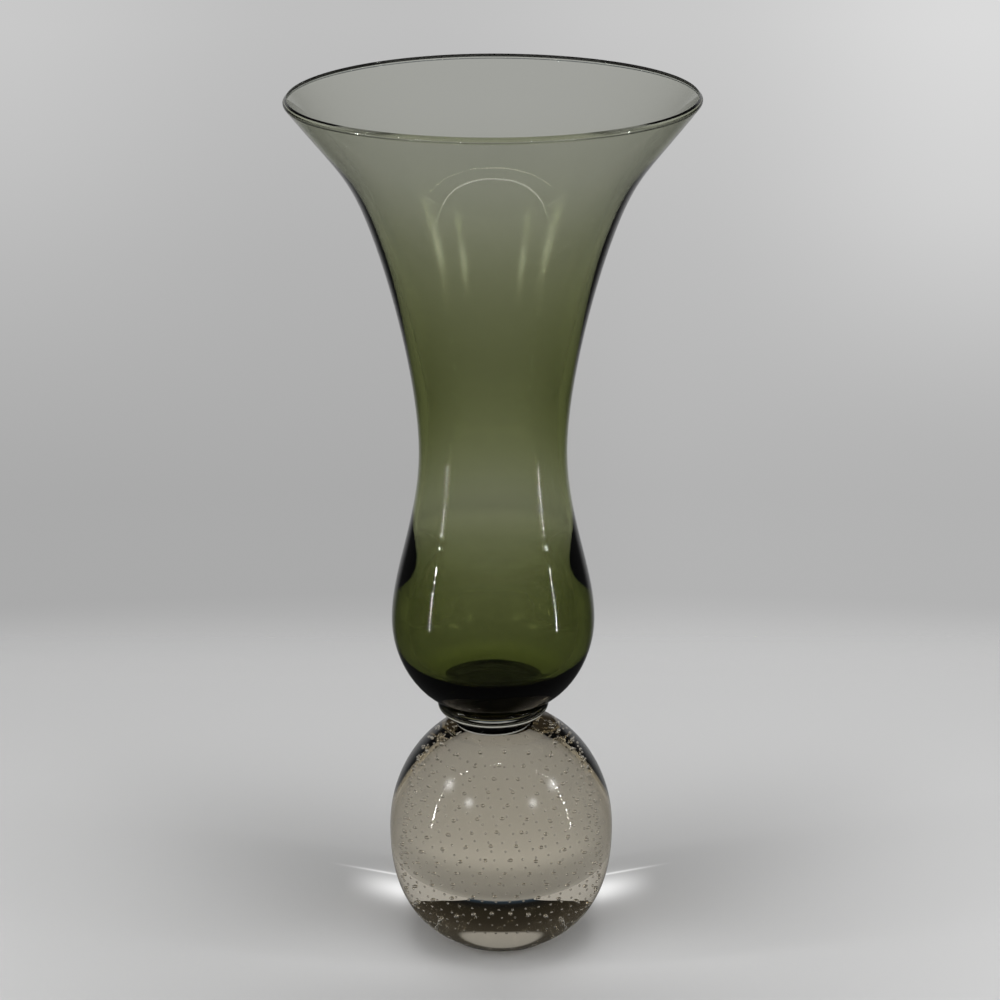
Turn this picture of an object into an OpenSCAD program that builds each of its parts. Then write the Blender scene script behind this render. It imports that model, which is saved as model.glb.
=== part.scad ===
// Art glass vase: a green blown trumpet bowl joined by two clear wafers
// to a solid clear glass ball that holds one layer of trapped air bubbles.
// Every piece is turned about the bowl's axis. The ball stands on z = 0.

/* [Bowl] */
// Height of the bowl from its foot to the lip
bowl_h = 215; // [200:1:240]
// Outside diameter of the mouth
mouth_d = 139; // [120:1:160]
// Slope of the wall at the mouth, measured from upright
mouth_slope = 37; // [30:1:45]
// Height of the throat above the bowl's foot
throat_z = 164; // [150:1:175]
// Outside diameter at the throat, where the trumpet opens
throat_d = 79; // [70:1:88]
// Slope of the wall at the throat, measured from upright
throat_slope = 18.5; // [12:0.5:24]
// Height of the waist above the bowl's foot
waist_z = 91; // [80:1:105]
// Outside diameter of the waist, the narrowest place
waist_d = 51; // [42:1:60]
// Height of the widest place of the bulb above the bowl's foot
bulb_z = 29.5; // [25:0.5:38]
// Outside diameter of the bulb
bulb_d = 70.8; // [62:0.2:80]
// Diameter of the flat foot that is fused to the upper wafer
bowl_foot_d = 33; // [26:1:36]
// Wall thickness at the mouth
mouth_wall = 1; // [0.8:0.1:2]
// Height above which the wall is as thin as at the mouth
mouth_wall_z = 200; // [180:1:205]
// Wall thickness at the neck, where the wall is thick
neck_wall = 4.1; // [2.5:0.1:5]
// Height of the thick wall at the neck
neck_wall_z = 110; // [100:1:125]
// Wall thickness above the bulb, where the wall is thin
shoulder_wall = 2.2; // [1.5:0.1:3.5]
// Height of the thin wall above the bulb
shoulder_wall_z = 68; // [60:1:75]
// Wall thickness at the bulb
bulb_wall = 5.4; // [3:0.1:6]
// Height up to which the wall is as thick as at the bulb
bulb_wall_z = 40; // [36:1:48]
// Thickness of the glass under the bowl's floor
floor_t = 9.5; // [6:0.5:11]
// Diameter of the flat middle of the bowl's floor
floor_d = 20; // [16:0.2:26]
// Diameter of the fire-polished bead round the lip
bead_d = 1.2; // [1.1:0.1:2.2]

/* [Wafers] */
// Diameter of the upper wafer
upper_wafer_d = 39.2; // [36.4:0.2:44]
// Thickness of the upper wafer
upper_wafer_t = 6; // [6:0.1:7.5]
// Rounding of the upper wafer's edge, above
upper_wafer_round_above = 1.2; // [0.6:0.1:1.6]
// Rounding of the upper wafer's edge, below
upper_wafer_round_below = 4.4; // [2:0.1:4.4]
// Diameter of the lower wafer
lower_wafer_d = 27.4; // [22:0.2:30]
// Thickness of the lower wafer
lower_wafer_t = 4.5; // [4:0.1:6]
// Rounding of the lower wafer's edge, above
lower_wafer_round_above = 1; // [0.6:0.1:1.4]
// Rounding of the lower wafer's edge, below
lower_wafer_round_below = 2.4; // [1:0.1:2.6]

/* [Ball] */
// Greatest diameter of the ball
ball_d = 79.2; // [74:0.2:88]
// Height of the ball from the table to the wafer's seat
ball_h = 79.5; // [75:0.5:88]
// Height of the ball's widest place
ball_widest_z = 40.5; // [38:0.5:43]
// Diameter of the ground flat that the ball stands on
base_d = 40; // [32:1:48]
// Width of the bevel round the ground flat
base_bevel = 0.8; // [0.4:0.1:1.4]
// Diameter of the flat seat on top of the ball
seat_d = 38; // [34:1:42]
// How far the ball sits off the bowl's axis
ball_offset = 2.8; // [0:0.1:3]

/* [Bubbles] */
// Diameter of one bubble
bubble_d = 1.4; // [0.8:0.1:1.8]
// Greatest diameter of the bubble layer
layer_d = 45; // [40:0.2:54]
// Full height of the bubble layer's barrel
layer_h = 60; // [50:1:62]
// Bubbles in one ring
bubble_columns = 24; // [12:1:30]
// Rings of bubbles
bubble_rows = 14; // [5:1:16]

/* [Hidden] */

lower_wafer_z = ball_h;
upper_wafer_z = lower_wafer_z + lower_wafer_t;
bowl_z = upper_wafer_z + upper_wafer_t;

// How far each Bezier handle reaches, as a share of its stretch's height
mouth_reach_share = 0.57;
throat_upper_reach_share = 0.53;
throat_lower_reach_share = 0.28;
waist_upper_reach_share = 0.3;
waist_lower_reach_share = 0.4;
bulb_upper_reach_share = 0.29;
bulb_lower_reach_share = 0.56;
foot_reach_share = 0.26;
bulb_inner_reach_share = 0.8;
floor_reach_share = 0.6;
// Steps along each stretch of the bowl's outline
curve_steps = 12;
// Steps round each edge of a wafer
edge_steps = 8;

// Power of the curve below the ball's widest place: 2 is an ellipse
lower_power = 2.4;
// Steps along each quarter of the ball's outline
ball_steps = 16;
// Power of the bubble layer's curve: 2 is an ellipse, and more is squarer
layer_power = 4;
// Height of the last rings of bubbles, as a share of half the layer's height
last_ring_share = 0.92;
// Share of one column by which each ring of bubbles turns from the ring below
ring_turn_share = 0.22;

$fn = 96;

// Point on a cubic Bezier curve
function bezier(p0, p1, p2, p3, t) =
    pow(1 - t, 3) * p0 + 3 * pow(1 - t, 2) * t * p1 + 3 * (1 - t) * t * t * p2 + pow(t, 3) * p3;

// Direction of a cubic Bezier curve
function bezier_slope(p0, p1, p2, p3, t) =
    pow(1 - t, 2) * (p1 - p0) + 2 * (1 - t) * t * (p2 - p1) + t * t * (p3 - p2);

// Unit vector that leans outwards from upright by an angle
function leaning(angle) = [sin(angle), cos(angle)];

// Vector turned a quarter turn and made one unit long
function left_of(v) = [-v[1], v[0]] / norm(v);

// Named places on the outside of the bowl, as radius and height above its foot
foot_edge = [bowl_foot_d / 2, 0];
bulb_side = [bulb_d / 2, bulb_z];
waist_side = [waist_d / 2, waist_z];
throat_side = [throat_d / 2, throat_z];
// The lip's bead touches the mouth's width and the bowl's height, and the wall ends on its centre
bead_centre = [mouth_d / 2, bowl_h] - [bead_d / 2, bead_d / 2];
mouth_side = bead_centre - mouth_wall / 2 * left_of(leaning(mouth_slope));

// The four stretches of the outside, from the foot up, each as its Bezier points
foot_stretch = [
    foot_edge,
    foot_edge + [foot_reach_share * bulb_z, 0],
    bulb_side - [0, bulb_lower_reach_share * bulb_z],
    bulb_side
];
bulb_stretch = [
    bulb_side,
    bulb_side + [0, bulb_upper_reach_share * (waist_z - bulb_z)],
    waist_side - [0, waist_lower_reach_share * (waist_z - bulb_z)],
    waist_side
];
waist_stretch = [
    waist_side,
    waist_side + [0, waist_upper_reach_share * (throat_z - waist_z)],
    throat_side - throat_lower_reach_share * (throat_z - waist_z) * leaning(throat_slope),
    throat_side
];
throat_stretch = [
    throat_side,
    throat_side + throat_upper_reach_share * (bowl_h - throat_z) * leaning(throat_slope),
    mouth_side - mouth_reach_share * (bowl_h - throat_z) * leaning(mouth_slope),
    mouth_side
];

// Value that changes smoothly from one place to another
function eased(z, low_z, low_value, high_z, high_value) =
    let (share = min(max((z - low_z) / (high_z - low_z), 0), 1))
    low_value + (high_value - low_value) * share * share * (3 - 2 * share);

// Wall thickness at a height above the foot
function wall_at(z) =
    z < shoulder_wall_z ? eased(z, bulb_wall_z, bulb_wall, shoulder_wall_z, shoulder_wall)
    : z < neck_wall_z ? eased(z, shoulder_wall_z, shoulder_wall, neck_wall_z, neck_wall)
    : eased(z, neck_wall_z, neck_wall, mouth_wall_z, mouth_wall);

// Points along the outside of one stretch
function outer_points(s) = [
    for (i = [0 : curve_steps]) bezier(s[0], s[1], s[2], s[3], i / curve_steps)
];

// Points along the inside of one stretch
function inner_points(s) = [
    for (i = [0 : curve_steps])
        let (
            t = i / curve_steps,
            point = bezier(s[0], s[1], s[2], s[3], t)
        )
        point + wall_at(point[1]) * left_of(bezier_slope(s[0], s[1], s[2], s[3], t))
];

// A list without its last point, where the next stretch begins
function but_last(points) = [for (i = [0 : len(points) - 2]) points[i]];

function turned_round(points) = [for (i = [len(points) - 1 : -1 : 0]) points[i]];

// Inside of the bulb, down to the flat middle of the floor
inside_bulb = bulb_side - [bulb_wall, 0];
floor_edge = [floor_d / 2, floor_t];
bulb_inside_points = [
    for (i = [0 : curve_steps])
        bezier(
            inside_bulb,
            inside_bulb - [0, bulb_inner_reach_share * (bulb_z - floor_t)],
            floor_edge + [floor_reach_share * (inside_bulb[0] - floor_edge[0]), 0],
            floor_edge,
            i / curve_steps
        )
];

module bowl_section() {
    outside = concat(
        but_last(outer_points(foot_stretch)),
        but_last(outer_points(bulb_stretch)),
        but_last(outer_points(waist_stretch)),
        outer_points(throat_stretch)
    );
    inside = concat(
        but_last(turned_round(inner_points(throat_stretch))),
        but_last(turned_round(inner_points(waist_stretch))),
        but_last(turned_round(inner_points(bulb_stretch))),
        bulb_inside_points
    );
    polygon(concat([[0, 0]], outside, inside, [[0, floor_t]]));
    translate(bead_centre) circle(d = bead_d);
}

// Green blown bowl
module bowl() {
    color([0.36, 0.41, 0.25])
        translate([0, 0, bowl_z])
            rotate_extrude() bowl_section();
}

// Points round a quarter of a circle, from one angle to the next right angle
function corner_points(centre, r, first_angle) = [
    for (i = [0 : edge_steps])
        let (angle = first_angle + 90 * i / edge_steps)
        centre + r * [cos(angle), sin(angle)]
];

// Disc whose edge is rounded above and below
module round_edged_disc(d, t, round_above, round_below) {
    rotate_extrude()
        polygon(concat(
            [[0, 0]],
            corner_points([d / 2 - round_below, round_below], round_below, -90),
            corner_points([d / 2 - round_above, t - round_above], round_above, 0),
            [[0, t]]
        ));
}

// Clear wafer under the bowl
module upper_wafer() {
    color([0.72, 0.73, 0.7])
        translate([0, 0, upper_wafer_z])
            round_edged_disc(
                upper_wafer_d,
                upper_wafer_t,
                upper_wafer_round_above,
                upper_wafer_round_below
            );
}

// Smaller clear wafer on top of the ball
module lower_wafer() {
    color([0.72, 0.73, 0.7])
        translate([0, 0, lower_wafer_z])
            round_edged_disc(
                lower_wafer_d,
                lower_wafer_t,
                lower_wafer_round_above,
                lower_wafer_round_below
            );
}

// Height of a rounded quarter that is cut off flat where its radius is flat_r
function quarter_reach(height, flat_r, power) =
    height / pow(1 - pow(flat_r / (ball_d / 2), power), 1 / power);

// Points of a rounded quarter of the ball, from its widest place to the flat
function quarter_points(height, flat_r, power) = [
    for (i = [0 : ball_steps])
        let (
            last_angle = acos(pow(flat_r / (ball_d / 2), power / 2)),
            angle = last_angle * i / ball_steps
        )
        [
            ball_d / 2 * pow(cos(angle), 2 / power),
            quarter_reach(height, flat_r, power) * pow(sin(angle), 2 / power)
        ]
];

module ball_section() {
    above = [
        for (p = quarter_points(ball_h - ball_widest_z, seat_d / 2, 2))
            [p[0], ball_widest_z + p[1]]
    ];
    below = [
        for (p = quarter_points(ball_widest_z - base_bevel, base_d / 2 + base_bevel, lower_power))
            [p[0], ball_widest_z - p[1]]
    ];
    polygon(concat(
        [[0, 0], [base_d / 2, 0]],
        but_last(turned_round(below)),
        above,
        [[0, ball_h]]
    ));
}

// One bubble at a ring and a column of the layer
module bubble(row, column) {
    share = last_ring_share * (2 * row / (bubble_rows - 1) - 1);
    ring_r = layer_d / 2 * pow(1 - pow(abs(share), layer_power), 1 / layer_power);
    turn = 360 * (column - ring_turn_share * row) / bubble_columns;
    rotate([0, 0, turn])
        translate([ring_r, 0, layer_h / 2 * share])
            sphere(d = bubble_d, $fn = 16);
}

// Solid clear ball with its layer of bubbles
module ball_foot() {
    color([0.78, 0.77, 0.72])
        translate([ball_offset, 0, 0])
            difference() {
                rotate_extrude() ball_section();
                translate([0, 0, ball_widest_z])
                    for (row = [0 : bubble_rows - 1], column = [0 : bubble_columns - 1]) {
                        bubble(row, column);
                    }
            }
}

bowl();
upper_wafer();
lower_wafer();
ball_foot();
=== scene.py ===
"""An art glass vase: a green trumpet bowl, two clear wafers and a ball full of bubbles.

Each glass piece is a class that turns its outline round the bowl's axis. Lengths are
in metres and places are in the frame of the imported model, with the ball standing on
the level z = 0.
"""

import logging
import math
from dataclasses import dataclass
from enum import Enum
from typing import Callable, Sequence

import bmesh
import bpy
from mathutils import Matrix, Vector


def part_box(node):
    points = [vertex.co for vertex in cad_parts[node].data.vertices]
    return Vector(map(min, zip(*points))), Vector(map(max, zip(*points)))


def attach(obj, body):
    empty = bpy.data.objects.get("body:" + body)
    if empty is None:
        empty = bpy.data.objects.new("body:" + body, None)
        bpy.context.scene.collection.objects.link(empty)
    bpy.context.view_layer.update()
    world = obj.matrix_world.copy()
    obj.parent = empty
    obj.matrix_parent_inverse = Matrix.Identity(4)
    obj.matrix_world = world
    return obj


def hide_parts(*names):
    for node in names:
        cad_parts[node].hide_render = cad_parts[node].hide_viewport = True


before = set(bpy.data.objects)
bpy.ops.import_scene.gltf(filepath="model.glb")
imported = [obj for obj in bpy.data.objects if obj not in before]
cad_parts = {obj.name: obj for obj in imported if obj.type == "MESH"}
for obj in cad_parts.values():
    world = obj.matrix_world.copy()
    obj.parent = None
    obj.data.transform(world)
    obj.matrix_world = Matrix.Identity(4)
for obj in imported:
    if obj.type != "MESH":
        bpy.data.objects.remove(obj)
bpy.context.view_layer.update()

LOG = logging.getLogger("vase")
MM = 0.001
FULL_TURN = 2 * math.pi
RIGHT_ANGLE = math.pi / 2
ROUND_STEPS = 160
CURVE_STEPS = 14
CORNER_STEPS = 5
# Faces that would touch stand this far apart, so that a ray meets them one by one
HAIR_GAP = 0.01 * MM

Point = tuple[float, float]
Stops = tuple[tuple[float, tuple[float, float, float]], ...]
# Where a smooth step begins and ends, and its heights there if they aren't 0 and 1
Fade = tuple[float, ...]


class Skin(Enum):
    """Which of a glass piece's two surfaces a face belongs to."""

    POLISHED = 0
    FUSED = 1


@dataclass(frozen=True)
class Value:
    """A shader socket that can be used in sums, so that node maths reads as maths."""

    bench: "Bench"
    socket: bpy.types.NodeSocket

    def _math(self, operation: str, first: "Value | float", second: "Value | float") -> "Value":
        """Adds one Math node.

        Args:
            operation: The Math node's operation.
            first: Its first value.
            second: Its second value.

        Returns:
            The node's result.
        """
        return self.bench.node("ShaderNodeMath", {"operation": operation}, {0: first, 1: second})

    def __add__(self, other: "Value | float") -> "Value":
        """Sum of two values."""
        return self._math("ADD", self, other)

    def __radd__(self, other: float) -> "Value":
        """Sum with a plain number on the left."""
        return self._math("ADD", other, self)

    def __sub__(self, other: "Value | float") -> "Value":
        """Difference of two values."""
        return self._math("SUBTRACT", self, other)

    def __rsub__(self, other: float) -> "Value":
        """Difference with a plain number on the left."""
        return self._math("SUBTRACT", other, self)

    def __mul__(self, other: "Value | float") -> "Value":
        """Product of two values."""
        return self._math("MULTIPLY", self, other)

    def __rmul__(self, other: float) -> "Value":
        """Product with a plain number on the left."""
        return self._math("MULTIPLY", other, self)

    def size(self) -> "Value":
        """The value without its sign."""
        return self.bench.node("ShaderNodeMath", {"operation": "ABSOLUTE"}, {0: self})

    def hump(self, middle: "Value | float", reach: float) -> "Value":
        """A smooth hump over a place.

        Args:
            middle: Where the hump is 1.
            reach: How far from there it has fallen to about a third.

        Returns:
            The hump's height at this value.
        """
        away = (self - middle) * (1 / reach)
        return self.bench.node(
            "ShaderNodeMath", {"operation": "EXPONENT"}, {0: -1.0 * (away * away)}
        )

    def step(self, low: float, high: float, start: float = 0.0, end: float = 1.0) -> "Value":
        """A smooth step.

        Args:
            low: Where it begins.
            high: Where it ends.
            start: Its height up to there.
            end: Its height from there on.

        Returns:
            The step's height at this value.
        """
        return self.bench.node(
            "ShaderNodeMapRange",
            {"interpolation_type": "SMOOTHSTEP"},
            {"Value": self, "From Min": low, "From Max": high, "To Min": start, "To Max": end},
        )


class Bench:
    """Builds the nodes of one material or of the world."""

    def __init__(self, tree: bpy.types.NodeTree) -> None:
        """Empties a node tree.

        Args:
            tree: The tree to build in.
        """
        self.tree = tree
        tree.nodes.clear()

    def node(
        self,
        kind: str,
        settings: dict[str, object] | None = None,
        sockets: dict[str | int, object] | None = None,
        output: str | int = 0,
    ) -> Value:
        """Adds one node.

        Args:
            kind: The node's type.
            settings: Its properties, which are set first. A ramp's stops go under "stops".
            sockets: Values or links of its input sockets, by name or number.
            output: The output that is wanted.

        Returns:
            The wanted output.
        """
        made = self.tree.nodes.new(kind)
        for name, setting in (settings or {}).items():
            if name == "stops":
                self._set_stops(made.color_ramp, setting)
            else:
                setattr(made, name, setting)
        for name, given in (sockets or {}).items():
            if isinstance(given, Value):
                self.tree.links.new(given.socket, made.inputs[name])
            else:
                made.inputs[name].default_value = given
        return Value(self, made.outputs[output] if made.outputs else None)

    def part(self, vector: Value, axis: str) -> Value:
        """Adds a node that takes the X, Y or Z out of a vector."""
        return self.node("ShaderNodeSeparateXYZ", sockets={"Vector": vector}, output=axis)

    def ramp(self, place: Value, stops: Stops) -> Value:
        """Adds a colour ramp over a value."""
        return self.node("ShaderNodeValToRGB", {"stops": stops}, {"Fac": place})

    def mix(self, blend: str, first: Value, second: Value) -> Value:
        """Adds a full mix of two colours.

        Args:
            blend: The way in which the second goes over the first.
            first: A colour.
            second: Another.

        Returns:
            The mixed colour.
        """
        return self.node(
            "ShaderNodeMix",
            {"data_type": "RGBA", "blend_type": blend},
            {"Factor": 1.0, "A": first, "B": second},
            "Result",
        )

    def close(self, surface: Value, volume: Value | None = None) -> None:
        """Adds a material's output.

        Args:
            surface: What its surface does to light.
            volume: What its inside does to light, if anything.
        """
        sockets = {"Surface": surface}
        if volume is not None:
            sockets["Volume"] = volume
        self.node("ShaderNodeOutputMaterial", sockets=sockets)

    @staticmethod
    def _set_stops(ramp: bpy.types.ColorRamp, stops: Stops) -> None:
        """Gives a colour ramp its stops.

        Args:
            ramp: The ramp.
            stops: Place and colour of each stop, in rising order.
        """
        while len(ramp.elements) < len(stops):
            ramp.elements.new(1.0)
        for element, (place, colour) in zip(ramp.elements, stops):
            element.position = place
            element.color = (*colour, 1.0)


def new_material(name: str) -> tuple[bpy.types.Material, Bench]:
    """Makes an empty material.

    Args:
        name: Its name.

    Returns:
        The material and a bench to build its nodes on.
    """
    material = bpy.data.materials.new(name)
    material.use_nodes = True
    return material, Bench(material.node_tree)


@dataclass(frozen=True)
class GlassFinish:
    """A glass: what it absorbs, how strongly it bends light and how its skin waves."""

    name: str
    tint: tuple[float, float, float]
    density: float
    ripple_size: float
    ripple_height: float
    clearness: float = 1.0
    refraction: float = 1.51
    # The ripples' scale along the axis against their scale across it
    upright_scale: float = 0.35

    def _absorb(self, bench: Bench) -> Value:
        """Adds the absorption inside the glass."""
        return bench.node(
            "ShaderNodeVolumeAbsorption",
            sockets={"Color": (*self.tint, 1.0), "Density": self.density},
        )

    def _ripples(self, bench: Bench) -> Value:
        """Adds the faint unevenness of hand-worked glass.

        Args:
            bench: The material's bench.

        Returns:
            The uneven normal.
        """
        place = bench.node("ShaderNodeTexCoord", output="Object")
        stretched = bench.node(
            "ShaderNodeMapping",
            sockets={"Vector": place, "Scale": (1.0, 1.0, self.upright_scale)},
        )
        waves = bench.node(
            "ShaderNodeTexNoise",
            sockets={"Vector": stretched, "Scale": 1 / self.ripple_size, "Detail": 1.0},
        )
        return bench.node(
            "ShaderNodeBump", sockets={"Height": waves, "Distance": self.ripple_height}
        )

    def polished(self) -> bpy.types.Material:
        """Makes the material of the glass's outer skin.

        Returns:
            The material.
        """
        material, bench = new_material(self.name)
        skin = bench.node(
            "ShaderNodeBsdfPrincipled",
            sockets={
                "Base Color": (self.clearness, self.clearness, self.clearness, 1.0),
                "Roughness": 0.0,
                "IOR": self.refraction,
                "Transmission Weight": 1.0,
                "Normal": self._ripples(bench),
            },
        )
        bench.close(skin, self._absorb(bench))
        return material

    def fused(self) -> bpy.types.Material:
        """Makes the material of a face that is fused to other glass and bends no light.

        Returns:
            The material.
        """
        material, bench = new_material(self.name + "_fused")
        bench.close(bench.node("ShaderNodeBsdfTransparent"), self._absorb(bench))
        return material


GREEN_GLASS = GlassFinish(
    name="green_glass",
    tint=(0.6, 0.632, 0.365),
    density=400.0,
    ripple_size=30 * MM,
    ripple_height=0.02 * MM,
    clearness=0.82,
)
CLEAR_GLASS = GlassFinish(
    name="clear_glass",
    tint=(0.6, 0.58, 0.4),
    density=16.0,
    ripple_size=12 * MM,
    ripple_height=0.03 * MM,
)
BALL_GLASS = GlassFinish(
    name="ball_glass",
    tint=(0.62, 0.53, 0.32),
    density=12.5,
    ripple_size=40 * MM,
    ripple_height=0.01 * MM,
)


def bezier(points: Sequence[Vector], share: float) -> Vector:
    """Point on a cubic Bezier curve.

    Args:
        points: Its four control points.
        share: Place along it, from 0 to 1.

    Returns:
        The point.
    """
    rest = 1 - share
    a, b, c, d = points
    return rest**3 * a + 3 * rest * rest * share * b + 3 * rest * share * share * c + share**3 * d


def bezier_heading(points: Sequence[Vector], share: float) -> Vector:
    """Direction of a cubic Bezier curve, one unit long.

    Args:
        points: Its four control points.
        share: Place along it, from 0 to 1.

    Returns:
        The direction.
    """
    rest = 1 - share
    a, b, c, d = points
    way = rest * rest * (b - a) + 2 * rest * share * (c - b) + share * share * (d - c)
    return way.normalized()


def leaning(degrees: float) -> Vector:
    """Unit vector that leans outwards from upright by an angle."""
    return Vector((math.sin(math.radians(degrees)), math.cos(math.radians(degrees))))


def quarter_turn(way: Vector) -> Vector:
    """A vector turned a quarter turn to its left."""
    return Vector((-way.y, way.x))


def rounded(corners: Sequence[Vector], cuts: Sequence[float]) -> list[Vector]:
    """Rounds the corners of an open line.

    Args:
        corners: Its start, its corners and its end.
        cuts: How far each rounding reaches from its corner.

    Returns:
        Its points.
    """
    points = [corners[0]]
    for before, corner, after, cut in zip(corners, corners[1:], corners[2:], cuts):
        start = corner + cut * (before - corner).normalized()
        end = corner + cut * (after - corner).normalized()
        curve = [start, start.lerp(corner, 2 / 3), end.lerp(corner, 2 / 3), end]
        points += [bezier(curve, step / CORNER_STEPS) for step in range(CORNER_STEPS + 1)]
    return [*points, corners[-1]]


def spun(outline: Sequence[Point], skin_of: Callable[[Vector], Skin]) -> bmesh.types.BMesh:
    """Turns an outline round the axis into a closed mesh.

    Args:
        outline: Radius and height of its points, from the axis to the axis.
        skin_of: Says from a face's middle which skin it has.

    Returns:
        The mesh, with its faces outwards.
    """
    mesh = bmesh.new()
    points = [mesh.verts.new((radius, 0.0, height)) for radius, height in outline]
    edges = [mesh.edges.new(pair) for pair in zip(points, points[1:])]
    bmesh.ops.spin(
        mesh,
        geom=points + edges,
        axis=(0.0, 0.0, 1.0),
        cent=(0.0, 0.0, 0.0),
        angle=FULL_TURN,
        steps=ROUND_STEPS,
        use_merge=True,
    )
    bmesh.ops.remove_doubles(mesh, verts=mesh.verts, dist=HAIR_GAP / 2)
    bmesh.ops.recalc_face_normals(mesh, faces=mesh.faces)
    for face in mesh.faces:
        face.smooth = True
        face.material_index = skin_of(face.calc_center_median()).value
    return mesh


def finished(
    name: str, mesh: bmesh.types.BMesh, glass: GlassFinish
) -> bpy.types.Object:
    """Makes an object of a mesh, dresses it and puts it in place of its CAD node.

    Args:
        name: The piece's name, which ends in _glass; the rest is its CAD node's.
        mesh: The mesh, in its place.
        glass: Its finish.

    Returns:
        The object.
    """
    data = bpy.data.meshes.new(name)
    mesh.to_mesh(data)
    mesh.free()
    data.materials.append(glass.polished())
    data.materials.append(glass.fused())
    piece = bpy.data.objects.new(name, data)
    bpy.context.scene.collection.objects.link(piece)
    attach(piece, "root")
    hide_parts(name.removesuffix("_glass"))
    LOG.info("%s: %d faces", name, len(data.polygons))
    return piece


@dataclass
class Bowl:
    """The green blown bowl, from its fused foot to its upright, bevelled lip."""

    mouth_slope: float = 37.0
    # The last of the wall stands upright and is bevelled outside
    lip_height: float = 1.9 * MM
    lip_wall: float = 1.1 * MM
    lip_bevel: float = 1.3 * MM
    lip_lead: float = 0.6 * MM
    # How far the rounding of each corner reaches, from the outside over the top
    lip_cuts: tuple[float, ...] = (0.45 * MM, 0.15 * MM, 0.06 * MM, 0.2 * MM)
    # How far the mouth hangs at the left
    lip_sag: float = 1.0 * MM
    throat_height: float = 164 * MM
    throat_width: float = 79 * MM
    throat_slope: float = 18.5
    waist_height: float = 91 * MM
    waist_width: float = 51 * MM
    bulb_height: float = 29.5 * MM
    bulb_width: float = 70.8 * MM
    foot_width: float = 33 * MM
    # Reach of each curve's two handles, from the foot up, as shares of the curve's rise
    handles: tuple[Point, ...] = ((0.26, 0.56), (0.29, 0.4), (0.3, 0.28), (0.53, 0.57))
    # Heights above the foot and the wall's thickness there, from the bulb up
    walls: tuple[Point, ...] = (
        (40 * MM, 5.4 * MM),
        (68 * MM, 2.2 * MM),
        (110 * MM, 4.1 * MM),
        (200 * MM, 0.9 * MM),
    )
    floor_depth: float = 9.5 * MM
    floor_width: float = 20 * MM
    # How steep the inner floor's curve starts and how flat it ends, as shares of its way
    floor_handles: Point = (0.8, 0.6)

    def __post_init__(self) -> None:
        """Reads the bowl's level, height and mouth from the frame."""
        low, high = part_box("bowl")
        self.level = low[2]
        self.height = high[2] - low[2]
        self.mouth_width = high[0] - low[0]

    def wall_at(self, height: float) -> float:
        """Works out the wall's thickness, which swells and thins smoothly.

        Args:
            height: Height above the foot.

        Returns:
            The thickness.
        """
        for (low, low_wall), (high, high_wall) in zip(self.walls, self.walls[1:]):
            if height <= high:
                share = max(0.0, (height - low) / (high - low))
                return low_wall + (high_wall - low_wall) * share * share * (3 - 2 * share)
        return self.walls[-1][1]

    def _stretches(self) -> list[list[Vector]]:
        """Lays out the outside.

        Returns:
            The Bezier points of each stretch, from the foot up.
        """
        foot = Vector((self.foot_width / 2, 0.0))
        bulb = Vector((self.bulb_width / 2, self.bulb_height))
        waist = Vector((self.waist_width / 2, self.waist_height))
        throat = Vector((self.throat_width / 2, self.throat_height))
        flare = leaning(self.mouth_slope)
        mouth = self._lip_corner() - self.lip_lead * flare
        places = (foot, bulb, waist, throat, mouth)
        rises = (bulb.y, waist.y - bulb.y, throat.y - waist.y, self.height - throat.y)
        up = Vector((0.0, 1.0))
        ways = (Vector((1.0, 0.0)), up, up, leaning(self.throat_slope), flare)
        curves = []
        for number, (rise, (leaving, coming)) in enumerate(zip(rises, self.handles)):
            start, end = places[number : number + 2]
            handle = start + leaving * rise * ways[number]
            other = end - coming * rise * ways[number + 1]
            curves.append([start, handle, other, end])
        return curves

    def _lip_corner(self) -> Vector:
        """Place where the flare would meet the upright lip."""
        return Vector((self.mouth_width / 2, self.height - self.lip_height))

    def _lip(self) -> list[Vector]:
        """Lays out the lip.

        Returns:
            Its points, from the outer wall over the bevel to the inner wall.
        """
        corner = self._lip_corner()
        flare = leaning(self.mouth_slope)
        wall = self.walls[-1][1] * quarter_turn(flare)
        inner = corner.x - self.lip_wall
        back = (inner - corner.x - wall.x) / flare.x
        return rounded(
            [
                corner - self.lip_lead * flare,
                corner,
                Vector((corner.x, self.height - self.lip_bevel)),
                Vector((inner, self.height)),
                Vector((inner, (corner + wall + back * flare).y)),
                corner + wall - self.lip_lead * flare,
            ],
            self.lip_cuts,
        )

    def _inner_floor(self) -> list[Vector]:
        """Lays out the bottom of the inside.

        Returns:
            Its points, from the bulb's widest place to the flat middle.
        """
        side = Vector((self.bulb_width / 2 - self.walls[0][1], self.bulb_height))
        edge = Vector((self.floor_width / 2, self.floor_depth))
        steep, flat = self.floor_handles
        fall = steep * (side.y - edge.y)
        reach = flat * (side.x - edge.x)
        curve = [side, side - Vector((0.0, fall)), edge + Vector((reach, 0.0)), edge]
        return [bezier(curve, step / CURVE_STEPS) for step in range(CURVE_STEPS + 1)]

    def outline(self) -> list[Point]:
        """Works out the whole outline.

        Returns:
            Radius and height of each point, from the foot's centre out, up and back down inside.
        """
        outside: list[Vector] = [Vector((0.0, 0.0))]
        inside: list[Vector] = []
        stretches = self._stretches()
        for number, curve in enumerate(stretches):
            for step in range(CURVE_STEPS):
                share = step / CURVE_STEPS
                point = bezier(curve, share)
                outside.append(point)
                if number:
                    inwards = quarter_turn(bezier_heading(curve, share))
                    inside.append(point + self.wall_at(point.y) * inwards)
        points = outside + self._lip() + inside[::-1][:-1] + self._inner_floor()
        points.append(Vector((0.0, self.floor_depth)))
        return [(point.x, point.y + self.level) for point in points]

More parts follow.
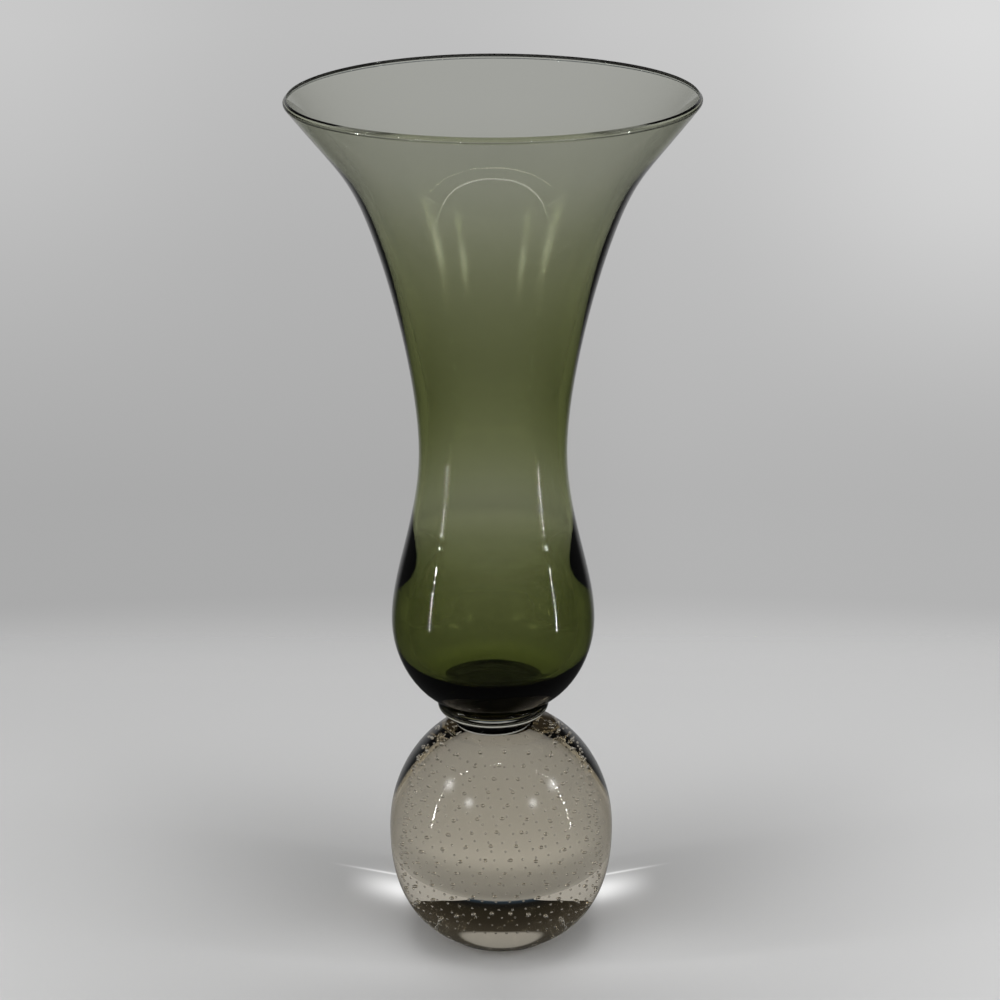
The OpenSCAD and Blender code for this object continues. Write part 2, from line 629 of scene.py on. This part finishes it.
    def build(self) -> bpy.types.Object:
        """Makes the bowl.

        Returns:
            The bowl.
        """
        foot_level = self.level + HAIR_GAP

        def skin_of(middle: Vector) -> Skin:
            """The foot's flat is fused, and the rest is polished."""
            return Skin.FUSED if middle.z < foot_level else Skin.POLISHED

        mesh = spun(self.outline(), skin_of)
        throat = self.level + self.throat_height
        for vert in mesh.verts:
            share = max(0.0, (vert.co.z - throat) / (self.height - self.throat_height))
            left = max(0.0, -2 * vert.co.x / self.mouth_width)
            vert.co.z -= self.lip_sag * share * share * left * left
        return finished("bowl_glass", mesh, GREEN_GLASS)


# Width of the fused place between the two wafers
WAFER_JOIN_WIDTH = 24.6 * MM


@dataclass
class Wafer:
    """A round-edged disc of clear glass, fused above and below."""

    node: str
    round_above: float
    round_below: float
    fused_above: float
    fused_below: float
    edge_steps: int = 8

    def __post_init__(self) -> None:
        """Reads the wafer's level, thickness and width from the frame."""
        low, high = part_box(self.node)
        self.level = low[2]
        self.thickness = high[2] - low[2]
        self.width = high[0] - low[0]

    def outline(self) -> list[Point]:
        """Works out the outline.

        Returns:
            Radius and height of each point, from the middle of the underside out and back above.
        """
        low = self.level + HAIR_GAP
        high = self.level + self.thickness - HAIR_GAP
        edge = self.width / 2
        under = []
        over = []
        for step in range(self.edge_steps + 1):
            angle = RIGHT_ANGLE * step / self.edge_steps
            inset = 1 - math.sin(angle)
            rise = 1 - math.cos(angle)
            under.append((edge - self.round_below * inset, low + self.round_below * rise))
            over.append((edge - self.round_above * inset, high - self.round_above * rise))
        points = [(0.0, low), (self.fused_below / 2, low), *under]
        return [*points, *over[::-1], (self.fused_above / 2, high), (0.0, high)]

    def build(self) -> bpy.types.Object:
        """Makes the wafer.

        Returns:
            The wafer.
        """
        low = self.level + 2 * HAIR_GAP
        high = self.level + self.thickness - 2 * HAIR_GAP

        def skin_of(middle: Vector) -> Skin:
            """Tells the fused middles of both flats from the polished rest.

            Args:
                middle: A face's middle.

            Returns:
                Its skin.
            """
            reach = math.hypot(middle.x, middle.y)
            below = middle.z < low and reach < self.fused_below / 2
            above = middle.z > high and reach < self.fused_above / 2
            return Skin.FUSED if below or above else Skin.POLISHED

        mesh = spun(self.outline(), skin_of)
        return finished(self.node + "_glass", mesh, CLEAR_GLASS)


@dataclass
class BallFoot:
    """The solid ball with its layer of trapped bubbles."""

    widest_height: float = 40.5 * MM
    base_width: float = 40 * MM
    base_bevel: float = 0.8 * MM
    seat_width: float = 38 * MM
    # Powers of the outline's curves; 2 is an ellipse
    upper_power: float = 2.0
    lower_power: float = 2.4
    fused_width: float = 22.4 * MM
    quarter_steps: int = 26
    bubble_width: float = 0.75 * MM
    layer_width: float = 45 * MM
    layer_height: float = 60 * MM
    layer_power: float = 4.0
    columns: int = 34
    rows: int = 20
    last_row_share: float = 0.92
    row_turn_share: float = 0.22

    def __post_init__(self) -> None:
        """Reads the ball's place, height and width from the frame."""
        low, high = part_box("ball_foot")
        self.height = high[2]
        self.width = high[0] - low[0]
        self.centre = Vector(((high[0] + low[0]) / 2, 0.0, 0.0))

    def _quarter(self, height: float, flat: float, power: float) -> list[Point]:
        """Points of a rounded quarter, from the widest place to a flat.

        Args:
            height: From the widest place to the flat.
            flat: Radius of the flat.
            power: Power of the curve; 2 is an ellipse.

        Returns:
            Radius of each point and its distance from the widest place.
        """
        radius = self.width / 2
        reach = height / (1 - (flat / radius) ** power) ** (1 / power)
        last = math.acos((flat / radius) ** (power / 2))
        points = []
        for step in range(self.quarter_steps + 1):
            angle = last * step / self.quarter_steps
            out = radius * math.cos(angle) ** (2 / power)
            points.append((out, reach * math.sin(angle) ** (2 / power)))
        return points

    def outline(self) -> list[Point]:
        """Works out the outline.

        Returns:
            Radius and height of each point, from the middle of the base to the middle of the seat.
        """
        bevel = self.base_bevel
        drop = self.widest_height - bevel
        rise = self.height - self.widest_height
        lower = self._quarter(drop, self.base_width / 2 + bevel, self.lower_power)
        upper = self._quarter(rise, self.seat_width / 2, self.upper_power)
        points = [(0.0, 0.0), (self.base_width / 2, 0.0)]
        points += [(out, self.widest_height - away) for out, away in lower[::-1][:-1]]
        points += [(out, self.widest_height + away) for out, away in upper]
        top = self.height - HAIR_GAP
        return [*points, (self.fused_width / 2, top), (0.0, top)]

    def _add_ring(self, mesh: bmesh.types.BMesh, row: int) -> None:
        """Adds one ring of bubbles, with their faces turned towards the air inside them.

        Args:
            mesh: The ball's mesh, on its own axis.
            row: The ring's number, from the lowest.
        """
        share = self.last_row_share * (2 * row / (self.rows - 1) - 1)
        first_turn = -FULL_TURN * self.row_turn_share * row / self.columns
        rise = self.layer_height / 2 * share
        out = self.layer_width / 2 * (1 - abs(share) ** self.layer_power) ** (1 / self.layer_power)
        place = Matrix.Rotation(first_turn, 4, "Z") @ Matrix.Translation(
            (out, 0.0, self.widest_height + rise)
        )
        ring = bmesh.new()
        bmesh.ops.create_icosphere(ring, subdivisions=2, radius=self.bubble_width / 2, matrix=place)
        bmesh.ops.reverse_faces(ring, faces=ring.faces)
        bmesh.ops.spin(
            ring,
            geom=[*ring.verts, *ring.edges, *ring.faces],
            axis=(0.0, 0.0, 1.0),
            cent=(0.0, 0.0, 0.0),
            angle=FULL_TURN * (self.columns - 1) / self.columns,
            steps=self.columns - 1,
            use_duplicate=True,
        )
        for face in ring.faces:
            face.smooth = True
        data = bpy.data.meshes.new("ring")
        ring.to_mesh(data)
        ring.free()
        mesh.from_mesh(data)
        bpy.data.meshes.remove(data)

    def build(self) -> bpy.types.Object:
        """Makes the ball.

        Returns:
            The ball.
        """
        seat = self.height - 2 * HAIR_GAP

        def skin_of(middle: Vector) -> Skin:
            """The middle of the seat is fused, and the rest is polished."""
            fused = middle.z > seat and math.hypot(middle.x, middle.y) < self.fused_width / 2
            return Skin.FUSED if fused else Skin.POLISHED

        mesh = spun(self.outline(), skin_of)
        for row in range(self.rows):
            self._add_ring(mesh, row)
        bmesh.ops.translate(mesh, verts=mesh.verts, vec=self.centre)
        return finished("ball_foot_glass", mesh, BALL_GLASS)


@dataclass(frozen=True)
class LightFinish:
    """A surface that shines evenly."""

    name: str
    colour: tuple[float, float, float]
    strength: float = 1.0

    def material(self) -> bpy.types.Material:
        """Makes the material.

        Returns:
            The material.
        """
        material, bench = new_material(self.name)
        shine = bench.node(
            "ShaderNodeEmission",
            sockets={"Color": (*self.colour, 1.0), "Strength": self.strength},
        )
        bench.close(shine)
        return material


@dataclass(frozen=True)
class Spot:
    """A soft round patch of painted light or shade on the table."""

    back: float
    width: float
    depth: float
    strength: float
    side: float = 0.0

    def over(self, across: Value, along: Value) -> Value:
        """The spot's strength at a place to the right and to the back on the table."""
        spot = across.hump(self.side, self.width) * along.hump(self.back, self.depth)
        return self.strength * spot


@dataclass(frozen=True)
class Streak:
    """A soft streak of painted shadow or light on the table, running out and back from the ball at
    both its sides.
    """

    slant: float
    back: float
    width: float
    ends: tuple[float, float]
    strength: float

    def over(self, out: Value, along: Value) -> Value:
        """The streak's strength at a distance out from the ball and a place to the back."""
        fade = out.step(*self.ends, self.strength, 0.0)
        return along.hump(self.slant * out + self.back, self.width) * fade


@dataclass(frozen=True)
class PaperFinish:
    """The table's pale paper, with the vase's shadow and the light that the ball throws on it
    painted in.
    """

    radius: float
    edge_fade: float = 100 * MM
    far: float = 325 * MM
    far_fade: float = 90 * MM
    ball_side: float = 2.8 * MM
    # The tone from left to right, with painted light that makes the paper lighter towards the right
    tones: Fade = (-200 * MM, 200 * MM, 0.535, 0.58)
    # Painted shadow runs out at both sides, and just before the ball painted light makes the paper
    # lighter
    shadow: Streak = Streak(
        slant=0.64, back=6 * MM, width=60 * MM, ends=(30 * MM, 200 * MM), strength=0.26
    )
    front: Spot = Spot(back=-22 * MM, width=65 * MM, depth=25 * MM, strength=0.3, side=2.8 * MM)
    # Painted shade: through glass the paper is darker, most of all behind the vase, where its
    # shadow falls
    glass_shade: float = 0.14
    behind: Spot = Spot(back=170 * MM, width=100 * MM, depth=70 * MM, strength=0.3)
    # Painted light: a glow in the paper behind the ball, which only steep rays through the glass
    # find
    painted_gathered_light: Spot = Spot(back=130 * MM, width=50 * MM, depth=30 * MM, strength=0.4)
    # How flat a ray is, over the sine of its fall
    flatness: Fade = (0.2, 0.34, 1.0, 0.0)
    # Painted light: the fan of light and the fine line that the ball throws at both its sides, as a
    # glow in the paper
    painted_glint_fan: Streak = Streak(
        slant=0.4, back=16 * MM, width=10 * MM, ends=(34 * MM, 60 * MM), strength=0.6
    )
    line: Streak = Streak(
        slant=0.4, back=28 * MM, width=0.8 * MM, ends=(42 * MM, 66 * MM), strength=0.35
    )
    glints_painted_from: Fade = (28 * MM, 38 * MM)
    roughness: float = 0.6
    specular: float = 0.2

    def material(self) -> bpy.types.Material:
        """Makes the paper's material, which fades to nothing at the table's edge.

        Returns:
            The material.
        """
        material, bench = new_material("floor_paper")
        place = bench.node("ShaderNodeTexCoord", output="Object")
        reach = bench.node("ShaderNodeVectorMath", {"operation": "LENGTH"}, {0: place}, "Value")
        across = bench.part(place, "X")
        along = bench.part(place, "Y")
        out = (across - self.ball_side).size()
        through = bench.node("ShaderNodeLightPath", output="Is Transmission Ray")
        lift = bench.part(bench.node("ShaderNodeNewGeometry", output="Incoming"), "Z")
        flat = lift.step(*self.flatness)
        inside = reach.step(self.radius - self.edge_fade, self.radius, 1.0, 0.0)
        inside = inside * along.step(self.far - self.far_fade, self.far, 1.0, 0.0)
        # Painted light: the paper's tone is lighter towards the right
        plain = across.step(*self.tones)
        # Painted shadow at both sides of the ball, and painted light just before it
        tone = plain * (1.0 - self.shadow.over(out, along)) + self.front.over(across, along)
        # Painted shade behind the vase, which flat rays through the glass see
        behind = self.behind.over(across, along) * flat
        # Painted light behind the ball, seen by steep rays through the glass
        painted_gathered_light = self.painted_gathered_light.over(across, along) * (1.0 - flat) * through
        # Painted glints: the fan and the fine line of light that the ball throws
        painted_glints = self.painted_glint_fan.over(out, along) + self.line.over(out, along)
        painted_glints = painted_glints * out.step(*self.glints_painted_from)
        paper = bench.node(
            "ShaderNodeBsdfPrincipled",
            sockets={
                "Base Color": tone * (1.0 - (self.glass_shade + behind) * through),
                "Roughness": self.roughness,
                "Specular IOR Level": self.specular,
                "Alpha": inside,
                "Emission Color": painted_glints + painted_gathered_light,
                "Emission Strength": 1.0,
            },
        )
        bench.close(paper)
        return material


@dataclass(frozen=True)
class Glow:
    """A soft bright disc that only the glass mirrors."""

    place: tuple[float, float, float]
    # How far from its middle the light has fallen to about a third
    reach: float
    strength: float
    # Radius of the disc, in reaches
    edge: float = 2.5
    sides: int = 48

    def mesh(self) -> bmesh.types.BMesh:
        """Makes the disc, which faces the vase.

        Returns:
            The mesh.
        """
        middle = Vector(self.place)
        aim = (Vector((0.0, 0.0, middle.z)) - middle).to_track_quat("Z", "Y")
        mesh = bmesh.new()
        bmesh.ops.create_circle(
            mesh,
            cap_ends=True,
            segments=self.sides,
            radius=self.edge * self.reach,
            matrix=Matrix.Translation(middle) @ aim.to_matrix().to_4x4(),
        )
        return mesh

    def material(self) -> bpy.types.Material:
        """Makes the light, which is clear where it has faded.

        Returns:
            The material.
        """
        material, bench = new_material("glow_light")
        place = bench.node("ShaderNodeTexCoord", output="Object")
        away = bench.node(
            "ShaderNodeVectorMath", {"operation": "DISTANCE"}, {0: place, 1: self.place}, "Value"
        )
        light = away.hump(0.0, self.reach)
        shine = bench.node(
            "ShaderNodeEmission", sockets={"Color": light, "Strength": self.strength}
        )
        clear = bench.node("ShaderNodeBsdfTransparent")
        bench.close(bench.node("ShaderNodeAddShader", sockets={0: shine, 1: clear}))
        return material


@dataclass(frozen=True)
class Card:
    """The small pale card behind the wafers, which only rising light in the glass meets."""

    back: float = 100 * MM
    level: float = 104 * MM
    width: float = 240 * MM
    height: float = 42 * MM
    tone: float = 0.5
    # How clear it is, over the sine of a ray's fall
    clearing: Fade = (-0.01, 0.0)

    def mesh(self) -> bmesh.types.BMesh:
        """Makes the card.

        Returns:
            The mesh.
        """
        mesh = bmesh.new()
        bmesh.ops.create_grid(
            mesh,
            x_segments=1,
            y_segments=1,
            size=1.0,
            matrix=Matrix.Translation((0.0, self.back, self.level))
            @ Matrix.Rotation(RIGHT_ANGLE, 4, "X")
            @ Matrix.Diagonal((self.width / 2, self.height / 2, 1.0, 1.0)),
        )
        return mesh

    def material(self) -> bpy.types.Material:
        """Makes the card's light, which is clear to level and falling rays.

        Returns:
            The material.
        """
        material, bench = new_material("card_light")
        falling = bench.part(bench.node("ShaderNodeNewGeometry", output="Incoming"), "Z")
        shine = bench.node(
            "ShaderNodeEmission",
            sockets={"Color": (self.tone, self.tone, self.tone, 1.0), "Strength": 1.0},
        )
        clear = bench.node("ShaderNodeBsdfTransparent")
        bench.close(
            bench.node(
                "ShaderNodeMixShader",
                sockets={0: falling.step(*self.clearing), 1: shine, 2: clear},
            )
        )
        return material


@dataclass(frozen=True)
class Backdrop:
    """The world: what the eye, the glass and the glass's skin each see around the vase.

    The ramps run from rays that fall by 30 degrees to level ones, and the room's goes on
    from there to upright ones.
    """

    to_eye: Stops = (
        (0.00, (0.50, 0.50, 0.50)),
        (0.26, (0.49, 0.49, 0.49)),
        (0.30, (0.40, 0.40, 0.40)),
        (0.36, (0.40, 0.40, 0.40)),
        (0.50, (0.45, 0.45, 0.45)),
        (0.64, (0.52, 0.52, 0.52)),
        (1.00, (0.54, 0.54, 0.54)),
    )
    in_glass: Stops = (
        (0.000, (0.52, 0.52, 0.53)),
        (0.220, (0.54, 0.54, 0.55)),
        (0.300, (0.44, 0.44, 0.45)),
        (0.360, (0.45, 0.45, 0.46)),
        (0.450, (0.50, 0.50, 0.51)),
        (0.650, (0.55, 0.55, 0.57)),
        (0.700, (0.32, 0.32, 0.33)),
        (0.835, (0.48, 0.48, 0.50)),
        (0.862, (0.10, 0.16, 0.27)),
        (0.920, (0.03, 0.05, 0.08)),
        (0.970, (0.01, 0.01, 0.01)),
    )
    room: Stops = (
        (0.00, (0.00, 0.00, 0.00)),
        (0.05, (0.015, 0.012, 0.005)),
        (0.18, (0.025, 0.02, 0.012)),
        (0.33, (0.05, 0.043, 0.032)),
        (0.60, (0.06, 0.055, 0.045)),
        (1.00, (0.04, 0.04, 0.035)),
    )
    # What the eye sees is brighter to the right and in the upper corners
    right: Fade = (-0.03, 0.06, 0.0, 0.12)
    upper_right: Fade = (0.05, 0.15, 0.0, 0.24)
    upper_right_rise: Fade = (0.38, 0.55)
    upper_left: Fade = (-0.16, -0.06, 0.12, 0.0)
    upper_left_rise: Fade = (0.36, 0.6)
    # A pale oval behind the vase, high up
    oval_height: float = 0.46
    oval_half_height: float = 0.15
    oval_half_width: float = 0.34
    oval_edge: Fade = (0.7, 1.2, 1.0, 0.0)
    oval_back: Fade = (0.0, 0.3)
    oval_light: float = 0.36
    # The room on the viewer's side
    front: Fade = (-0.3, -0.05, 0.6, 0.0)
    front_top: Fade = (0.3, 0.7, 1.0, 0.0)
    # The sheen, which the glass's skin mirrors most from straight behind
    sheen_least: float = 0.03
    sheen_back: Fade = (0.75, 0.95, 0.0, 0.3)
    sheen_low: Fade = (-0.6, -0.3)
    sheen_high: Fade = (0.1, 0.25, 1.0, 0.0)
    fill_tone: float = 0.5

    def _shown(self, bench: Bench, across: Value, height: Value) -> Value:
        """Adds what the eye sees, which is brighter to the right and to the upper corners.

        Args:
            bench: The world's bench.
            across: How far a ray points to the right.
            height: Place on the ramps, 0 for a ray that falls by 30 degrees and 1 for a level one.

        Returns:
            The colour.
        """
        right = across.step(*self.right)
        upper_right = across.step(*self.upper_right) * height.step(*self.upper_right_rise)
        upper_left = across.step(*self.upper_left) * height.step(*self.upper_left_rise)
        slant = 1.0 + right + upper_right + upper_left
        return bench.mix("MULTIPLY", bench.ramp(height, self.to_eye), slant)

    def _through_glass(
        self, bench: Bench, across: Value, along: Value, up: Value, height: Value
    ) -> Value:
        """Adds what the glass lets through, which is pale paper below and a dim room above.

        Args:
            bench: The world's bench.
            across: How far a ray points to the right.
            along: How far it points to the back.
            up: How far it points up.
            height: Place on the ramps, 0 for a ray that falls by 30 degrees and 1 for a level one.

        Returns:
            The colour.
        """
        rise = (up - self.oval_height) * (1 / self.oval_half_height)
        side = across * (1 / self.oval_half_width)
        oval = (rise * rise + side * side).step(*self.oval_edge) * along.step(*self.oval_back)
        front = along.step(*self.front) * up.step(*self.front_top)
        dim = bench.mix("ADD", bench.ramp(height, self.in_glass), bench.ramp(up, self.room))
        return bench.mix("ADD", dim, self.oval_light * oval + front)

    def build(self) -> None:
        """Makes the world."""
        world = bpy.data.worlds.new("studio")
        world.use_nodes = True
        bpy.context.scene.world = world
        bench = Bench(world.node_tree)
        way = bench.node("ShaderNodeTexCoord", output="Generated")
        across, along, up = (bench.part(way, axis) for axis in ("X", "Y", "Z"))
        height = 2 * up + 1
        sheen = along.step(*self.sheen_back) * up.step(*self.sheen_low)
        sheen = sheen * up.step(*self.sheen_high)
        fill = (self.fill_tone, self.fill_tone, self.fill_tone, 1.0)
        seen_as = (
            ("Is Glossy Ray", self.sheen_least + sheen),
            ("Is Transmission Ray", self._through_glass(bench, across, along, up, height)),
            ("Is Camera Ray", self._shown(bench, across, height)),
        )
        light = bench.node("ShaderNodeBackground", sockets={"Color": fill, "Strength": 1.0})
        for ray, colour in seen_as:
            chosen = bench.node("ShaderNodeLightPath", output=ray)
            view = bench.node("ShaderNodeBackground", sockets={"Color": colour, "Strength": 1.0})
            light = bench.node("ShaderNodeMixShader", sockets={0: chosen, 1: light, 2: view})
        bench.node("ShaderNodeOutputWorld", sockets={"Surface": light})


@dataclass
class Studio:
    """The pale table, the backdrop, the lights that the glass mirrors, the lamps and the camera."""

    floor_radius: float = 450 * MM
    floor_sides: int = 96
    # Below the level, so that the ball's flat foot and the paper aren't in one plane
    floor_drop: float = 0.2 * MM
    camera_distance: float = 1045 * MM
    camera_height: float = 519.3 * MM
    camera_side: float = 2.4 * MM
    camera_tilt: float = 18.84
    # These two are in millimetres
    camera_lens: float = 115.2
    camera_sensor: float = 36.0
    wall_distance: float = 500 * MM
    # Far reach and height of the side walls' top edge, from the front back
    wall_edge: tuple[Point, ...] = (
        (-0.2, 0.3), (0.29, 0.28), (0.45, 0.184), (0.69, 0.127), (1.12, 0.053), (2.35, -0.08)
    )
    wall_foot: float = -150 * MM
    wall_light: LightFinish = LightFinish("side_wall_light", (0.55, 0.55, 0.56))
    glows: tuple[Glow, ...] = (
        Glow((0.47, -0.16, 0.37), 50 * MM, 8.0),
        Glow((-0.47, -0.16, 0.37), 50 * MM, 8.0),
        Glow((0.46, -0.58, 0.45), 60 * MM, 8.0),
        Glow((-0.46, -0.58, 0.45), 60 * MM, 8.0),
    )
    lamp_reach: float = 455 * MM
    lamp_depth: float = -140 * MM
    lamp_low: float = 30 * MM
    lamp_high: float = 400 * MM
    lamp_light: LightFinish = LightFinish("lamp_light", (1.0, 1.0, 1.0), 150.0)
    bead_pitch: float = 8 * MM
    bead_width: float = 4.5 * MM
    bead_sides: int = 6
    strip_width: float = 20 * MM
    strip_power: float = 0.7
    overhead_place: tuple[float, float, float] = (0.0, 0.1, 1.3)
    overhead_width: float = 900 * MM
    overhead_power: float = 8.2
    bounces: int = 24

    def _stage(
        self, name: str, mesh: bmesh.types.BMesh, material: bpy.types.Material
    ) -> bpy.types.Object:
        """Makes a piece of the studio.

        Args:
            name: Its name.
            mesh: Its mesh.
            material: Its finish.

        Returns:
            The piece.
        """
        data = bpy.data.meshes.new(name)
        mesh.to_mesh(data)
        mesh.free()
        data.materials.append(material)
        piece = bpy.data.objects.new(name, data)
        bpy.context.scene.collection.objects.link(piece)
        return piece

    def _for_glass(
        self, name: str, mesh: bmesh.types.BMesh, material: bpy.types.Material
    ) -> bpy.types.Object:
        """Makes a piece of the studio that only rays from the glass see.

        Args:
            name: Its name.
            mesh: Its mesh.
            material: Its finish.

        Returns:
            The piece.
        """
        piece = self._stage(name, mesh, material)
        piece.visible_camera = False
        piece.visible_diffuse = False
        piece.visible_shadow = False
        return piece

    def floor(self) -> None:
        """Makes the round pale table, which fades into the backdrop at its edge."""
        mesh = bmesh.new()
        bmesh.ops.create_circle(
            mesh, cap_ends=True, segments=self.floor_sides, radius=self.floor_radius
        )
        bmesh.ops.translate(mesh, verts=mesh.verts, vec=(0.0, 0.0, -self.floor_drop))
        paper = PaperFinish(self.floor_radius)
        self._stage("floor", mesh, paper.material()).visible_glossy = False

    def side_wall(self, side: int) -> None:
        """Makes a pale side wall, which only light inside the glass meets.

        Args:
            side: 1 for the right and -1 for the left.
        """
        mesh = bmesh.new()
        away = side * self.wall_distance
        edge = [mesh.verts.new((away, far, high)) for far, high in self.wall_edge]
        foot = [mesh.verts.new((away, far, self.wall_foot)) for far, _ in self.wall_edge]
        for near, far, far_foot, near_foot in zip(edge, edge[1:], foot[1:], foot):
            mesh.faces.new((near, far, far_foot, near_foot))
        piece = self._for_glass(f"side_wall_{side}", mesh, self.wall_light.material())
        piece.visible_glossy = False

    def lamp_beads(self) -> None:
        """Makes the strings of small lamps, up both sides and across the top."""
        places = []
        steps = round((self.lamp_high - self.lamp_low) / self.bead_pitch)
        for step in range(steps):
            height = self.lamp_low + step * self.bead_pitch
            places.append((-self.lamp_reach, height, RIGHT_ANGLE))
            places.append((self.lamp_reach, height, -RIGHT_ANGLE))
        steps = round(2 * self.lamp_reach / self.bead_pitch)
        for step in range(steps + 1):
            places.append((step * self.bead_pitch - self.lamp_reach, self.lamp_high, 0.0))
        mesh = bmesh.new()
        for across, height, turn in places:
            matrix = (
                Matrix.Translation((across, self.lamp_depth, height))
                @ Matrix.Rotation(turn, 4, "Z")
                @ Matrix.Rotation(RIGHT_ANGLE, 4, "X")
            )
            bmesh.ops.create_circle(
                mesh,
                cap_ends=True,
                segments=self.bead_sides,
                radius=self.bead_width / 2,
                matrix=matrix,
            )
        self._for_glass("lamp_beads", mesh, self.lamp_light.material())

    def lamp(
        self, name: str, place: Sequence[float], aim_height: float, size: Point, power: float
    ) -> None:
        """Adds one soft lamp that lights the table and faces the vase's axis.

        Args:
            name: Its name.
            place: Where it stands.
            aim_height: Height of the place on the axis that it faces.
            size: Its width and height.
            power: Its power in watts.
        """
        data = bpy.data.lights.new(name, "AREA")
        data.shape = "RECTANGLE"
        data.size, data.size_y = size
        data.energy = power
        lamp = bpy.data.objects.new(name, data)
        lamp.location = place
        aim = Vector((0.0, 0.0, aim_height)) - Vector(place)
        lamp.rotation_euler = aim.to_track_quat("-Z", "Y").to_euler()
        lamp.visible_camera = False
        lamp.visible_glossy = False
        lamp.visible_transmission = False
        bpy.context.scene.collection.objects.link(lamp)

    def lamps(self) -> None:
        """Sets up the lamp overhead and one strip at each side."""
        square = (self.overhead_width, self.overhead_width)
        self.lamp("overhead", self.overhead_place, 0.0, square, self.overhead_power)
        middle = (self.lamp_low + self.lamp_high) / 2
        strip = (self.strip_width, self.lamp_high - self.lamp_low)
        for side in (-1, 1):
            place = (side * self.lamp_reach, self.lamp_depth, middle)
            self.lamp(f"strip_{side}", place, middle, strip, self.strip_power)

    def camera(self) -> None:
        """Sets up the camera at the photograph's viewing angle."""
        data = bpy.data.cameras.new("camera")
        data.lens = self.camera_lens
        data.sensor_width = self.camera_sensor
        camera = bpy.data.objects.new("camera", data)
        camera.location = (self.camera_side, -self.camera_distance, self.camera_height)
        camera.rotation_euler = (math.radians(90 - self.camera_tilt), 0.0, 0.0)
        bpy.context.scene.collection.objects.link(camera)
        bpy.context.scene.camera = camera

    def build(self) -> None:
        """Makes the whole studio."""
        self.camera()
        self.floor()
        Backdrop().build()
        self.lamps()
        self.lamp_beads()
        card = Card()
        self._for_glass("card", card.mesh(), card.material()).visible_glossy = False
        for side in (-1, 1):
            self.side_wall(side)
        for number, glow in enumerate(self.glows):
            self._for_glass(f"glow_{number}", glow.mesh(), glow.material())
        scene = bpy.context.scene
        scene.view_settings.view_transform = "Standard"
        scene.cycles.max_bounces = self.bounces
        scene.cycles.transmission_bounces = self.bounces
        scene.cycles.transparent_max_bounces = self.bounces


def main() -> None:
    """Builds the vase and its studio."""
    logging.basicConfig(level=logging.INFO, format="%(name)s %(message)s")
    Studio().build()
    bowl = Bowl()
    bowl.build()
    ball = BallFoot()
    Wafer(
        node="upper_wafer",
        round_above=1.2 * MM,
        round_below=4.4 * MM,
        fused_above=bowl.foot_width,
        fused_below=WAFER_JOIN_WIDTH,
    ).build()
    Wafer(
        node="lower_wafer",
        round_above=1.0 * MM,
        round_below=2.4 * MM,
        fused_above=WAFER_JOIN_WIDTH,
        fused_below=ball.fused_width,
    ).build()
    ball.build()


if __name__ == "__main__":
    main()
